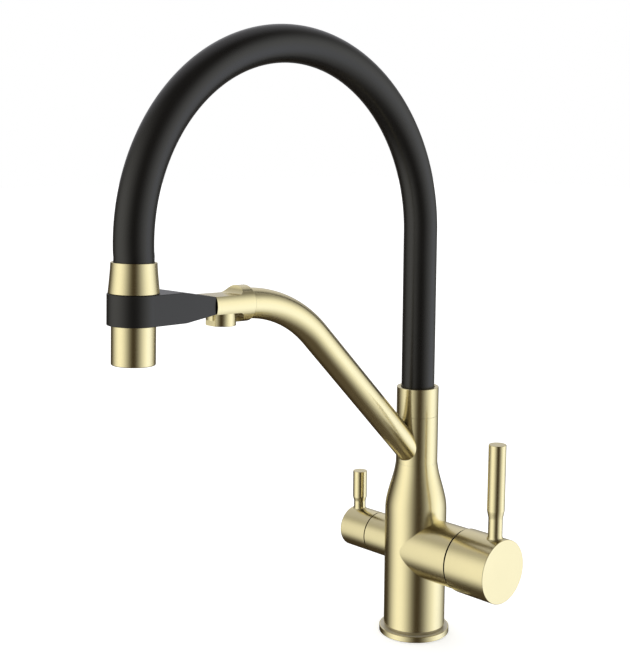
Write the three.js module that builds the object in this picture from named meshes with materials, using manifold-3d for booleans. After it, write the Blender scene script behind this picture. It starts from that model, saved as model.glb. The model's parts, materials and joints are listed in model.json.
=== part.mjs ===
// Three way filtered water tap: a deck-mounted kitchen tap with a side mixer
// lever, a small filtered-water lever, a hose arch and a docked spray head.
// Units are millimetres, +Z is up. The origin is the middle of the underside
// of the base flange. -Y is the way the spout points, +X is the mixer side.
import * as THREE from 'three';
import { mergeVertices } from 'three/addons/utils/BufferGeometryUtils.js';
import Module from 'manifold-3d';

// ---------------------------------------------------------------- dimensions
const GAP = 0.3;                 // between neighbouring solids that touch

// base flange and casting
const FLANGE_R = 26, FLANGE_H = 4.2, FLANGE_BORE = 18;
const BODY_R = 22.67, BODY_FOOT_R = 21.45, BODY_FOOT_Z = 4.5, CAVITY_R = 18, CAVITY_TOP = 42;
const CREASE_Z = 130.5, NECK_R = 15.24;
const TAPER = [[22.67, 92.8], [22.4, 99.5], [21.72, 103.6], [20.62, 108.2],
  [18.05, 117.3], [16.42, 123.5], [15.62, 128]];
const SPIGOT_R = 12, SPIGOT_TOP = 161.5;
const WATER_LOW_R = 4.5, WATER_R = 6.2;

// neck sleeve and hose collar
const SLEEVE_BORE = 13.2, SEAM_Z = 165.95, RIM_Z = 187;
const COLLAR_BORE = 12.3, HOSE_SEAT_Z = 170.3;

// mixer side (along +X at this height)
const MIX_Z = 67.08, MIX_BOSS_R = 22.2, MIX_SEAM = 48, MIX_CAP_R = 23.04, MIX_FACE = 82.16;
const MIX_LIP = 46.1, MIX_GROOVE_R = 20.1;  // groove for the seam ring at the boss's outer end
const MIX_NOTCH = 14.2;                     // under the axis, where the relief for the tilt starts
const MIX_CHAMBER_R = 17.9, MIX_CHAMBER_BACK = 9, MIX_PIVOT = 44;
const MIX_LEVER_X = 74.4, MIX_LEVER_R = 6.15, MIX_LEVER_NECK_R = 5.07;
const MIX_LEVER_TOP = 157.3, MIX_LEVER_TAPER = [104.6, 110.4];
const MIX_PORTS = [[-9, 3.08, 2.3], [9, 3.08, 2.3], [0, -4.5, 2.4]]; // y, height, radius

// filtered water side (along -X at this height)
const FIL_Z = 66.58, FIL_R = 15.32, FIL_SEAM = 38.6, FIL_FACE = 63.96;
const FIL_LIP = 37.9, FIL_GROOVE_R = 13;    // groove for the seam ring at the boss's outer end
const FIL_CHAMBER_R = 10.5, FIL_CHAMBER_BACK = 17;
const FIL_LEVER_X = 58, FIL_LEVER_R = 5.33, FIL_LEVER_NECK_R = 4.5;
const FIL_LEVER_TOP = 111.35, FIL_LEVER_TAPER = [87.6, 90.9];
const FIL_PORTS = [[0, -4.6, 1.7], [0, 4.6, 1.7]];

// filtered water arm: up at 45 degrees, one bend, then almost level
const ARM_R = 9.82, ARM_BORE = 7.5, ARM_ROOT_Z = 132.53;
const ARM_RISE = 45.167, ARM_BEND_R = 90.2, ARM_BEND_END = [-165.06, 263.69];

// dock frame: on the leaning axis of the spray head
const DOCK_Y = -248.74, DOCK_Z = 269, LEAN = 1.85;
const RING_R = 15.75, RING_BORE = 13.5, RING_TOP = 8.4, RING_FOOT = -10;
const DOCK_TIP = 53.2, DOCK_TIP_W = 10.3, DOCK_TIP_TOP = 4.05, DOCK_TIP_FOOT = -6.85;
const HUB_FRONT = 53.7, HUB_BACK = 85, HUB_R = 11.5, HUB_H = -2.3, ARM_H = -2.6;
const HUB_STEP = 77, HUB_STEP_R = 5, HUB_FLAT_TOP = 4.05, HUB_FLAT_FOOT = -6.9, HUB_SOCKET = 78.5;
const NOZZLE_Y = 65.5, NOZZLE_R = 9.42, NOZZLE_END = -15.1, NOZZLE_FLAT = 8.32, NOZZLE_FLAT_TOP = -11.6;

// spray head on the same axis
const HEAD_R = 13.15, HEAD_FOOT = -33.6, HEAD_TOP = 26.6, HEAD_SHOULDER = 8.7;
const HEAD_CONE = [[15.1, 8.7], [15.1, 9.2], [14.7, 13], [14.12, 18.9], [13.62, 26.6]];

// hose arch
const HOSE_R = 11.94, HOSE_CORE_R = 8.3, HOSE_BORE = 6, ARCH_SPAN = 247.97;
const ARCH_SPRING_Z = 301.5, ARCH_RISE = 123.47, ARCH_BOW = 1.97;

const FINE = 28, MID = 20, SMALL = 16, TINY = 10, DRILL = 8;

// ------------------------------------------------------------------ materials
const gold = () => new THREE.MeshStandardMaterial({ color: 0xd8ca9c, roughness: 0.28, metalness: 1 });
const black = () => new THREE.MeshStandardMaterial({ color: 0x1d1d1f, roughness: 0.55, metalness: 0 });
const rubber = () => new THREE.MeshStandardMaterial({ color: 0x121213, roughness: 0.7, metalness: 0 });
const brass = () => new THREE.MeshStandardMaterial({ color: 0xb99a54, roughness: 0.4, metalness: 1 });
const steel = () => new THREE.MeshStandardMaterial({ color: 0xb9bcc0, roughness: 0.35, metalness: 1 });
const white = () => new THREE.MeshStandardMaterial({ color: 0xe4e4e0, roughness: 0.45, metalness: 0 });
const ceramic = () => new THREE.MeshStandardMaterial({ color: 0xf1ede4, roughness: 0.2, metalness: 0 });

// -------------------------------------------------------------------- helpers
const wasm = await Module();
wasm.setup();

// A closed three.js geometry as a solid for joining and cutting.
function solid(geometry) {
  const g = geometry.clone();
  g.deleteAttribute('normal');
  g.deleteAttribute('uv');
  const merged = mergeVertices(g, 1e-4);
  const p = merged.attributes.position.array;
  const index = merged.index.array;
  const tri = [];
  let volume = 0;
  for (let i = 0; i < index.length; i += 3) {
    const [a, b, c] = [index[i], index[i + 1], index[i + 2]];
    if (a === b || b === c || a === c) continue;
    tri.push(a, b, c);
    const [A, B, C] = [a, b, c].map((k) => new THREE.Vector3(p[3 * k], p[3 * k + 1], p[3 * k + 2]));
    volume += A.dot(B.cross(C));
  }
  if (volume < 0) for (let i = 0; i < tri.length; i += 3) [tri[i], tri[i + 1]] = [tri[i + 1], tri[i]];
  const mesh = new wasm.Mesh({
    numProp: 3, vertProperties: new Float32Array(p), triVerts: new Uint32Array(tri),
  });
  return new wasm.Manifold(mesh);
}

// Turned piece about +Z from [radius, height] points.
function turned(profile, segments = MID) {
  const points = profile.map(([r, z]) => new THREE.Vector2(r, z));
  const onAxis = profile[0][0] === 0 && profile[profile.length - 1][0] === 0;
  if (!onAxis) points.push(points[0].clone());
  return solid(new THREE.LatheGeometry(points, segments).rotateX(Math.PI / 2));
}
const rod = (r, z0, z1, segments = SMALL) => turned([[0, z0], [r, z0], [r, z1], [0, z1]], segments);
const ring = (r0, r1, z0, z1, segments = SMALL) => turned([[r0, z0], [r1, z0], [r1, z1], [r0, z1]], segments);
const block = (x0, x1, y0, y1, z0, z1) => solid(
  new THREE.BoxGeometry(x1 - x0, y1 - y0, z1 - z0).translate((x0 + x1) / 2, (y0 + y1) / 2, (z0 + z1) / 2));

// Cylinder between two points.
function bar(a, b, r, segments = SMALL) {
  const A = new THREE.Vector3(...a), B = new THREE.Vector3(...b);
  const g = new THREE.CylinderGeometry(r, r, A.distanceTo(B), segments);
  g.applyQuaternion(new THREE.Quaternion().setFromUnitVectors(
    new THREE.Vector3(0, 1, 0), B.clone().sub(A).normalize()));
  g.translate((A.x + B.x) / 2, (A.y + B.y) / 2, (A.z + B.z) / 2);
  return solid(g);
}

// Prism of a polygon in the XZ plane, along Y from y0 to y1.
function prismXZ(points, y0, y1) {
  const shape = new THREE.Shape(points.map(([x, z]) => new THREE.Vector2(x, z)));
  const g = new THREE.ExtrudeGeometry(shape, { depth: y1 - y0, bevelEnabled: false });
  return solid(g.rotateX(Math.PI / 2).translate(0, y1, 0));
}
// Prism of a polygon in the YZ plane, along X from x0 to x1.
function prismYZ(points, x0, x1) {
  const shape = new THREE.Shape(points.map(([y, z]) => new THREE.Vector2(y, z)));
  const g = new THREE.ExtrudeGeometry(shape, { depth: x1 - x0, bevelEnabled: false });
  const m = new THREE.Matrix4().makeBasis(
    new THREE.Vector3(0, 1, 0), new THREE.Vector3(0, 0, 1), new THREE.Vector3(1, 0, 0));
  return solid(g.applyMatrix4(m).translate(x0, 0, 0));
}
// Prism of a polygon in the XY plane, along Z from z0 to z1.
function prismXY(points, z0, z1) {
  const shape = new THREE.Shape(points.map(([x, y]) => new THREE.Vector2(x, y)));
  return solid(new THREE.ExtrudeGeometry(shape, { depth: z1 - z0, bevelEnabled: false }).translate(0, 0, z0));
}

// A path given by its stations, so that straight runs need few of them.
class StationPath extends THREE.Curve {
  constructor(points, tangents) {
    super();
    this.stations = points;
    this.tangents = tangents;
  }
  getUtoTmapping(u) { return u; }
  getPoint(t, target = new THREE.Vector3()) {
    const s = t * (this.stations.length - 1);
    const i = Math.min(Math.floor(s + 1e-9), this.stations.length - 2);
    return target.lerpVectors(this.stations[i], this.stations[i + 1], s - i);
  }
  getTangent(t, target = new THREE.Vector3()) {
    return target.copy(this.tangents[Math.round(t * (this.tangents.length - 1))]);
  }
}
function circlePoints(r, segments) {
  return Array.from({ length: segments }, (_, i) => new THREE.Vector2(
    r * Math.cos((2 * Math.PI * i) / segments), r * Math.sin((2 * Math.PI * i) / segments)));
}
// Round tube (or rod, when bore is 0) along a station path.
function tube(path, r, bore, segments) {
  const shape = new THREE.Shape(circlePoints(r, segments));
  if (bore) shape.holes.push(new THREE.Path(circlePoints(bore, segments).reverse()));
  return solid(new THREE.ExtrudeGeometry(shape, {
    steps: path.stations.length - 1, extrudePath: path, bevelEnabled: false,
  }));
}

function piece(name, body, material) {
  const m = body.getMesh();
  const g = new THREE.BufferGeometry();
  g.setAttribute('position', new THREE.BufferAttribute(new Float32Array(m.vertProperties), 3));
  g.setIndex(new THREE.BufferAttribute(new Uint32Array(m.triVerts), 1));
  g.computeVertexNormals();
  const mesh = new THREE.Mesh(g, material);
  mesh.name = name;
  return mesh;
}

const rad = THREE.MathUtils.degToRad;
const tap = new THREE.Group();

// ---------------------------------------------------------- base and casting
tap.add(piece('base_flange', turned([[FLANGE_BORE, 0], [19.4, 0], [19.4, 1.2], [22.4, 1.2], [22.4, 0],
  [FLANGE_R, 0], [FLANGE_R, 3.7], [25.5, FLANGE_H], [FLANGE_BORE, FLANGE_H]], FINE), gold()));
tap.add(piece('base_gasket', ring(19.7, 22.1, 0.02, 0.9, MID), rubber()));

// The casting: upright body, the two bosses and the swivel spigot.
const outside = turned([[0, BODY_FOOT_Z], [BODY_FOOT_R, BODY_FOOT_Z], [BODY_R, BODY_FOOT_Z + 2], ...TAPER,
  [15.29, CREASE_Z - 0.15], [0, CREASE_Z - 0.15]], FINE);
const spigot = turned([[0, CREASE_Z - 3], [SPIGOT_R, CREASE_Z - 3], [SPIGOT_R, 138.6], [11, 138.6], [11, 141],
  [SPIGOT_R, 141], [SPIGOT_R, 144], [11, 144], [11, 151], [SPIGOT_R, 151], [SPIGOT_R, 153.6], [11, 153.6],
  [11, 156], [SPIGOT_R, 156], [SPIGOT_R, 158.7], [11.1, 158.7], [11.1, 160.3], [SPIGOT_R, 160.3],
  [SPIGOT_R, SPIGOT_TOP], [0, SPIGOT_TOP]], SMALL);
const mixRelief = prismXZ([[48.23, MIX_Z - MIX_NOTCH], [42.6, MIX_Z - 23], [49, MIX_Z - 23], [49, MIX_Z - MIX_NOTCH]], -17.5, 17.5);
const mixBoss = bar([0, 0, MIX_Z], [MIX_LIP, 0, MIX_Z], MIX_BOSS_R, FINE)
  .add(bar([40, 0, MIX_Z], [MIX_SEAM - 0.15, 0, MIX_Z], MIX_GROOVE_R, FINE)).subtract(mixRelief);
const filBoss = bar([0, 0, FIL_Z], [-FIL_LIP, 0, FIL_Z], FIL_R, FINE)
  .add(bar([-30, 0, FIL_Z], [-(FIL_SEAM - 0.15), 0, FIL_Z], FIL_GROOVE_R, FINE));
const mixPort = (k) => MIX_Z + MIX_PORTS[k][1];
const filPort = (k) => FIL_Z + FIL_PORTS[k][1];
const casting = outside.add(spigot).add(mixBoss).add(filBoss)
  .subtract(rod(CAVITY_R, -1, CAVITY_TOP, FINE))
  .subtract(bar([MIX_CHAMBER_BACK, 0, MIX_Z], [60, 0, MIX_Z], MIX_CHAMBER_R, FINE))
  .subtract(bar([-FIL_CHAMBER_BACK, 0, FIL_Z], [-60, 0, FIL_Z], FIL_CHAMBER_R, MID))
  // mixed water: back of the mixer chamber, up the middle, out of the spigot
  .subtract(bar([0, 0, mixPort(2)], [9.2, 0, mixPort(2)], MIX_PORTS[2][2], DRILL))
  .subtract(rod(WATER_LOW_R, mixPort(2) - 3.5, 90, TINY))
  .subtract(rod(WATER_R, 88, 170, TINY))
  // hot and cold inlets
  .subtract(bar([2, -9, 40], [2, -9, 50], 4, DRILL)).subtract(bar([2, 9, 40], [2, 9, 50], 4, DRILL))
  .subtract(bar([2, -9, 49], [2, -9, 72.8], 3.2, DRILL)).subtract(bar([2, 9, 49], [2, 9, 72.8], 3.2, DRILL))
  .subtract(bar([2, -9, mixPort(0)], [9.2, -9, mixPort(0)], 2.3, DRILL))
  .subtract(bar([2, 9, mixPort(1)], [9.2, 9, mixPort(1)], 2.3, DRILL))
  // filtered water inlet, and its way up beside the middle to the swivel groove
  .subtract(bar([-11, 0, 40], [-11, 0, 64], 2.8, DRILL))
  .subtract(bar([-11, 0, filPort(0)], [-17.2, 0, filPort(0)], 1.7, DRILL))
  .subtract(bar([-8.6, 0, filPort(1)], [-17.2, 0, filPort(1)], 1.4, DRILL))
  .subtract(bar([-8.6, 0, filPort(1) - 1.4], [-8.6, 0, 149], 1.4, DRILL))
  .subtract(bar([-8.6, 0, 147.5], [-12.5, 0, 147.5], 1.4, DRILL))
  // fixing stud thread
  .subtract(bar([10.5, 0, 40], [10.5, 0, 47], 3.4, DRILL));
tap.add(piece('tap_body', casting, gold()));

// dark rings that line the seams of the two bosses
tap.add(piece('mixer_seam_ring', bar([MIX_LIP + 0.1, 0, MIX_Z], [MIX_SEAM - 0.2, 0, MIX_Z], MIX_BOSS_R - 0.25, FINE)
  .subtract(bar([MIX_LIP - 1, 0, MIX_Z], [MIX_SEAM + 1, 0, MIX_Z], MIX_GROOVE_R + 0.1, FINE)).subtract(mixRelief), rubber()));
tap.add(piece('filter_seam_ring', bar([-(FIL_LIP + 0.1), 0, FIL_Z], [-(FIL_SEAM - 0.1), 0, FIL_Z], FIL_R - 0.25, FINE)
  .subtract(bar([-(FIL_LIP - 1), 0, FIL_Z], [-(FIL_SEAM + 1), 0, FIL_Z], FIL_GROOVE_R + 0.1, FINE)), rubber()));

// swivel parts on the spigot
const oring = (mid, r, z) => turned(Array.from({ length: 6 }, (_, i) => [
  mid + r * Math.cos((Math.PI * i) / 3), z + r * Math.sin((Math.PI * i) / 3)]), MID);
tap.add(piece('swivel_bush', ring(12.3, 13.09, 130.85, 136.4, FINE), white()));
tap.add(piece('swivel_oring_lower', oring(12.15, 0.85, 139.8), rubber()));
tap.add(piece('swivel_oring_upper', oring(12.15, 0.85, 154.8), rubber()));
{
  // open ring: nine tenths of a turn
  const pts = [];
  const n = 20, a0 = rad(18), a1 = rad(342);
  for (let i = 0; i <= n; i++) { const a = a0 + ((a1 - a0) * i) / n; pts.push([13.4 * Math.cos(a), 13.4 * Math.sin(a)]); }
  for (let i = n; i >= 0; i--) { const a = a0 + ((a1 - a0) * i) / n; pts.push([11.4 * Math.cos(a), 11.4 * Math.sin(a)]); }
  tap.add(piece('swivel_retaining_ring', prismXY(pts, 159, 160), steel()));
}

// ---------------------------------------------------------------- mixer side
// Its own frame: local z runs out along +X, local -x is up.
const mixer = new THREE.Group();
mixer.position.set(0, 0, MIX_Z);
mixer.rotation.y = Math.PI / 2;
tap.add(mixer);
// Round hole or rod along local z at [y, height].
const alongMix = ([y, h, r], z0, z1, segments = TINY) => bar([-h, y, z0], [-h, y, z1], r, segments);
const drillMix = (body, z0, z1, extra = 0) => MIX_PORTS.reduce(
  (b, [y, h, r]) => b.subtract(alongMix([y, h, r + extra], z0, z1, DRILL)), body);

mixer.add(piece('mixer_cartridge_housing', drillMix(turned([[0, 9.4], [17.5, 9.4], [17.5, 40], [9.5, 40], [9.5, 37],
  [10.2, 37], [10.2, 30], [15.3, 30], [15.3, 12], [0, 12]], MID), 9, 12.5), white()));
mixer.add(piece('mixer_cartridge_seal', drillMix(rod(15, 12.3, 13.3, MID), 12, 14, 0.2), rubber()));
mixer.add(piece('mixer_fixed_disc', drillMix(rod(15, 13.6, 17.4, MID), 13, 18), ceramic()));
mixer.add(piece('mixer_cartridge_nut', ring(12.5, 17.6, 40.3, 47.3, MID)
  .subtract(block(-18, 18, -1.8, 1.8, 45.3, 48)), brass()));

// moving disc: its half-moon pocket joins the inlets to the outlet when it is raised
const halfMoon = Array.from({ length: 13 }, (_, i) => [9.6 * Math.sin(rad(15 * i)), -9.6 * Math.cos(rad(15 * i))]);
mixer.add(piece('mixer_moving_disc', rod(11, 17.5, 21.5, MID).subtract(prismXY(halfMoon, 17, 19)), ceramic()));
mixer.add(piece('mixer_disc_slider', rod(11, 21.8, 29.9, SMALL).add(block(-3.6, 3.6, -3.9, 3.9, 29, 34.5))
  .subtract(rod(2.55, 28, 35, 16)), white()));

// turning carrier, its slot, and the pin that the stem tilts on
mixer.add(piece('mixer_turn_carrier', turned([[0, 30.3], [10, 30.3], [10, 36.9], [9.2, 36.9], [9.2, 46.5], [0, 46.5]], MID)
  .subtract(block(-8, 8, -4.2, 4.2, 30, 47))
  .subtract(bar([0, -12, MIX_PIVOT], [0, 12, MIX_PIVOT], 1.8, TINY)), white()));
mixer.add(piece('mixer_pivot_pin', bar([0, -8.8, MIX_PIVOT], [0, 8.8, MIX_PIVOT], 1.5, TINY), steel()));
const ball = solid(new THREE.SphereGeometry(2.4, 12, 8).rotateX(Math.PI / 2).translate(0, 0, 33));
mixer.add(piece('mixer_stem', block(-4, 4, -3.9, 3.9, 36.5, 72).add(rod(1.6, 33, 37, TINY)).add(ball)
  .subtract(bar([0, -5, MIX_PIVOT], [0, 5, MIX_PIVOT], 1.65, TINY)), brass()));

// cap: thin skirt, cavity, socket for the stem, lever and grub screw holes
const mixCap = turned([[0, 54], [8, 54], [8, 66], [20, 66], [20, 58], [22.5, 58], [22.5, MIX_SEAM + 0.15],
  [22.84, MIX_SEAM + 0.15], [MIX_CAP_R, MIX_SEAM + 0.35], [MIX_CAP_R, MIX_FACE - 0.6], [MIX_CAP_R - 0.6, MIX_FACE], [0, MIX_FACE]], FINE)
  .subtract(block(-4.3, 4.3, -4.2, 4.2, 53, 72.3))
  .subtract(bar([-30, 0, MIX_LEVER_X], [-11.7, 0, MIX_LEVER_X], 3.3, SMALL))
  .subtract(bar([30, 0, 69], [4, 0, 69], 2, TINY))
  .subtract(prismXZ([[MIX_NOTCH, 47.77], [23.75, 53.2], [23.75, 47], [MIX_NOTCH, 47]], -18.5, 18.5));
mixer.add(piece('mixer_cap', mixCap, gold()));
mixer.add(piece('mixer_grub_screw', bar([4.35, 0, 69], [12.4, 0, 69], 1.7, TINY), steel()));

// lever: thread, thin neck, taper, thick grip with a flat end
const upMix = (z) => z - MIX_Z;
const mixLever = turned([[0, 12], [3, 12], [3, 18], [MIX_LEVER_NECK_R, 18], [MIX_LEVER_NECK_R, upMix(MIX_LEVER_TAPER[0])],
  [MIX_LEVER_R, upMix(MIX_LEVER_TAPER[1])], [MIX_LEVER_R, upMix(MIX_LEVER_TOP) - 0.4], [MIX_LEVER_R - 0.4, upMix(MIX_LEVER_TOP)],
  [0, upMix(MIX_LEVER_TOP)]], SMALL);
const toMixLever = new THREE.Matrix4().makeRotationY(-Math.PI / 2).setPosition(0, 0, MIX_LEVER_X);
function moved(body, m) { return body.transform(m.elements); }
const leverFoot = rod(MIX_CAP_R + GAP, 40, 90, 48);
{
  const whole = moved(mixLever, toMixLever);
  const grip = whole.subtract(leverFoot);
  const thread = bar([-12, 0, MIX_LEVER_X], [-(MIX_CAP_R + 2), 0, MIX_LEVER_X], 3, SMALL);
  mixer.add(piece('mixer_lever', grip.add(thread), gold()));
}

// --------------------------------------------------------- filtered water side
// Its own frame: local z runs out along -X, local x is up.
const filter = new THREE.Group();
filter.position.set(0, 0, FIL_Z);
filter.rotation.y = -Math.PI / 2;
tap.add(filter);
const drillFil = (body, z0, z1) => FIL_PORTS.reduce(
  (b, [y, h, r]) => b.subtract(bar([h, y, z0], [h, y, z1], r, DRILL)), body);

filter.add(piece('filter_valve_body', turned([[7.5, 17.4], [10.2, 17.4], [10.2, 36.4], [4.15, 36.4], [4.15, 29],
  [7.5, 29]], MID), brass()));
filter.add(piece('filter_seat_washer', drillFil(rod(7.2, 17.4, 19, SMALL), 17, 20), rubber()));
filter.add(piece('filter_fixed_disc', drillFil(rod(7.2, 19.3, 22.3, SMALL), 19, 23), ceramic()));
filter.add(piece('filter_moving_disc', rod(7.2, 22.4, 25.4, SMALL)
  .subtract(block(-1.7, 1.7, -6.3, 6.3, 22, 24)), ceramic()));
filter.add(piece('filter_spindle', turned([[0, 25.7], [7.2, 25.7], [7.2, 28.7], [4, 28.7], [4, 56.7], [0, 56.7]], SMALL), brass()));

const filCap = turned([[0, 46], [7, 46], [7, 52], [12.5, 52], [12.5, FIL_SEAM + 0.15], [15.12, FIL_SEAM + 0.15],
  [FIL_R, FIL_SEAM + 0.35], [FIL_R, FIL_FACE - 0.8], [FIL_R - 0.8, FIL_FACE], [0, FIL_FACE]], FINE)
  .subtract(rod(4.3, 45, 57, SMALL))
  .subtract(bar([20, 0, FIL_LEVER_X], [7.7, 0, FIL_LEVER_X], 2.6, TINY))
  .subtract(bar([-20, 0, 54.5], [-4, 0, 54.5], 1.7, TINY));
filter.add(piece('filter_cap', filCap, gold()));
filter.add(piece('filter_grub_screw', bar([-4.35, 0, 54.5], [-10.4, 0, 54.5], 1.4, TINY), steel()));
{
  const up = (z) => z - FIL_Z;
  const whole = turned([[0, 11], [FIL_LEVER_NECK_R, 11], [FIL_LEVER_NECK_R, up(FIL_LEVER_TAPER[0])],
    [FIL_LEVER_R, up(FIL_LEVER_TAPER[1])], [FIL_LEVER_R, up(FIL_LEVER_TOP) - 0.4], [FIL_LEVER_R - 0.4, up(FIL_LEVER_TOP)],
    [0, up(FIL_LEVER_TOP)]], SMALL);
  const m = new THREE.Matrix4().makeRotationY(Math.PI / 2).setPosition(0, 0, FIL_LEVER_X);
  const grip = moved(whole, m).subtract(rod(FIL_R + GAP, 40, 80, 48));
  const thread = bar([8, 0, FIL_LEVER_X], [FIL_R + 2, 0, FIL_LEVER_X], 2.3, TINY);
  filter.add(piece('filter_lever', grip.add(thread), gold()));
}

// ---------------------------------------------------------- neck sleeve, collar
const rise = rad(ARM_RISE);
const sleeve = turned([[SLEEVE_BORE, CREASE_Z + 0.15], [15.25, CREASE_Z + 0.15], [NECK_R, 131.2], [NECK_R, SEAM_Z - 0.15],
  [13.8, SEAM_Z - 0.15], [13.8, 158.6], [12.3, 158.6], [12.3, 157], [SLEEVE_BORE, 157]], FINE)
  .subtract(bar([0, 0, ARM_ROOT_Z], [0, -30, ARM_ROOT_Z + 30 * Math.tan(rise)], 4.6, SMALL));
tap.add(piece('neck_sleeve', sleeve, gold()));
tap.add(piece('hose_collar', turned([[8.6, 162.4], [13.5, 162.4], [13.5, SEAM_Z + 0.15], [NECK_R, SEAM_Z + 0.15],
  [NECK_R, RIM_Z - 0.6], [NECK_R - 0.6, RIM_Z], [COLLAR_BORE, RIM_Z], [COLLAR_BORE, HOSE_SEAT_Z], [8.6, HOSE_SEAT_Z]], FINE), gold()));
tap.add(piece('hose_connector', turned([[4, 162.4], [8.3, 162.4], [8.3, HOSE_SEAT_Z], [5.7, HOSE_SEAT_Z], [5.7, 188],
  [5.2, 190], [4, 190]], SMALL), brass()));

// ------------------------------------------------------------------- hose arch
const lean = rad(LEAN);
const headPoint = (h) => new THREE.Vector3(0, DOCK_Y + h * Math.sin(lean), DOCK_Z + h * Math.cos(lean));
function hosePath() {
  const p = [], t = [];
  const put = (a, b) => { p.push(a); t.push(b.normalize()); };
  for (const z of [HOSE_SEAT_Z + GAP, 236, ARCH_SPRING_Z]) put(new THREE.Vector3(0, 0, z), new THREE.Vector3(0, 0, 1));
  const n = 14, half = ARCH_SPAN / 2;
  for (let i = 1; i <= n; i++) {
    const a = (Math.PI * i) / n;
    put(new THREE.Vector3(-ARCH_BOW * Math.sin(a), -half * (1 - Math.cos(a)), ARCH_SPRING_Z + ARCH_RISE * Math.sin(a)),
      new THREE.Vector3(-ARCH_BOW * Math.cos(a), -half * Math.sin(a), ARCH_RISE * Math.cos(a)));
  }
  put(headPoint(16.7), new THREE.Vector3(0, -Math.sin(lean), -Math.cos(lean)));
  return new StationPath(p, t);
}
tap.add(piece('hose_sleeve', tube(hosePath(), HOSE_R, HOSE_CORE_R + GAP, 12), rubber()));
tap.add(piece('hose_inner', tube(hosePath(), HOSE_CORE_R, HOSE_BORE, 12), rubber()));

// ---------------------------------------------------------- filtered water arm
const armDirection = (a) => new THREE.Vector3(0, -Math.cos(a), Math.sin(a));
const armUp = (a) => new THREE.Vector3(0, Math.sin(a), Math.cos(a));
function armPath() {
  const end = new THREE.Vector3(0, ...ARM_BEND_END);
  const centre = end.clone().addScaledVector(armUp(lean), -ARM_BEND_R);
  const p = [new THREE.Vector3(0, 0, ARM_ROOT_Z)], t = [armDirection(rise)];
  const n = 9;
  for (let i = 0; i <= n; i++) {
    const a = rise + ((lean - rise) * i) / n;
    p.push(centre.clone().addScaledVector(armUp(a), ARM_BEND_R));
    t.push(armDirection(a));
  }
  const socket = HUB_SOCKET;
  p.push(new THREE.Vector3(0, DOCK_Y + socket * Math.cos(lean) + ARM_H * Math.sin(lean),
    DOCK_Z - socket * Math.sin(lean) + ARM_H * Math.cos(lean)));
  t.push(armDirection(lean));
  return new StationPath(p, t);
}
tap.add(piece('spout_arm', tube(armPath(), ARM_R, ARM_BORE, SMALL)
  .subtract(rod(NECK_R + GAP, 100, 190, 48)), gold()));

// ------------------------------------------------------------------ dock frame
const dock = new THREE.Group();
dock.position.set(0, DOCK_Y, DOCK_Z);
dock.rotation.x = -lean;
tap.add(dock);
const intoDock = new THREE.Matrix4().makeRotationX(-lean).setPosition(0, DOCK_Y, DOCK_Z).invert();

// hub: a round end with flats, the arm socket, the waterway and a front tongue
const hubRound = moved(turned([[0, HUB_FRONT], [HUB_R, HUB_FRONT], [HUB_R, HUB_BACK - 1.4], [HUB_R - 0.4, HUB_BACK - 0.5],
  [HUB_R - 1, HUB_BACK], [0, HUB_BACK]], FINE), new THREE.Matrix4().makeRotationX(-Math.PI / 2).setPosition(0, 0, HUB_H));
const socketCut = moved(tube(armPath(), ARM_R + GAP, 0, SMALL), intoDock);
// Cut for a flat that ends in a hollow curve at the step; side is 1 above and -1 below.
function flatCut(h, side) {
  const outline = [[HUB_FRONT - 5, h]];
  for (let i = 0; i <= 6; i++) outline.push([HUB_STEP - HUB_STEP_R + HUB_STEP_R * Math.sin(rad(15 * i)),
    h + side * HUB_STEP_R * (1 - Math.cos(rad(15 * i)))]);
  outline.push([HUB_STEP, side * 20], [HUB_FRONT - 5, side * 20]);
  return prismYZ(side > 0 ? outline : outline.reverse(), -20, 20);
}
const hub = hubRound
  .subtract(flatCut(HUB_FLAT_TOP, 1))
  .subtract(flatCut(HUB_FLAT_FOOT, -1))
  .subtract(rod(NOZZLE_R + 0.35, -20, HUB_FLAT_FOOT, MID).translate([0, NOZZLE_Y, 0]))
  .add(block(-5, 5, 40, HUB_FRONT + 1, -4.5, 2))
  .subtract(socketCut)
  .subtract(bar([0, HUB_SOCKET + 2, HUB_H], [0, NOZZLE_Y, HUB_H], 3.4, SMALL))
  .subtract(rod(6.8, HUB_FLAT_FOOT - 1, 0.2, SMALL).translate([0, NOZZLE_Y, 0]))
  .subtract(bar([0, 46, -5], [0, 46, -0.9], 1.8, TINY));
dock.add(piece('arm_hub', hub, gold()));

// filtered water nozzle with its two flats, and the flow straightener in it
const nozzle = turned([[5, -2.2], [6.5, -2.2], [6.5, HUB_FLAT_FOOT - GAP], [NOZZLE_R, HUB_FLAT_FOOT - GAP],
  [NOZZLE_R, NOZZLE_END + 0.4], [NOZZLE_R - 0.4, NOZZLE_END], [7.3, NOZZLE_END], [7.3, -9], [5, -9]], FINE)
  .subtract(block(-12, 12, NOZZLE_FLAT, 12, NOZZLE_END - 1, NOZZLE_FLAT_TOP))
  .subtract(block(-12, 12, -12, -NOZZLE_FLAT, NOZZLE_END - 1, NOZZLE_FLAT_TOP));
dock.add(piece('filter_nozzle', nozzle.translate([0, NOZZLE_Y, 0]), gold()));
let aerator = rod(7, -14.4, -11, SMALL);
for (let i = 0; i < 6; i++) aerator = aerator.subtract(rod(1.1, -15, -10, 6)
  .translate([4.6 * Math.cos(rad(60 * i)), 4.6 * Math.sin(rad(60 * i)), 0]));
dock.add(piece('filter_aerator', aerator.subtract(rod(1.1, -15, -10, 6)).translate([0, NOZZLE_Y, 0]), white()));

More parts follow.
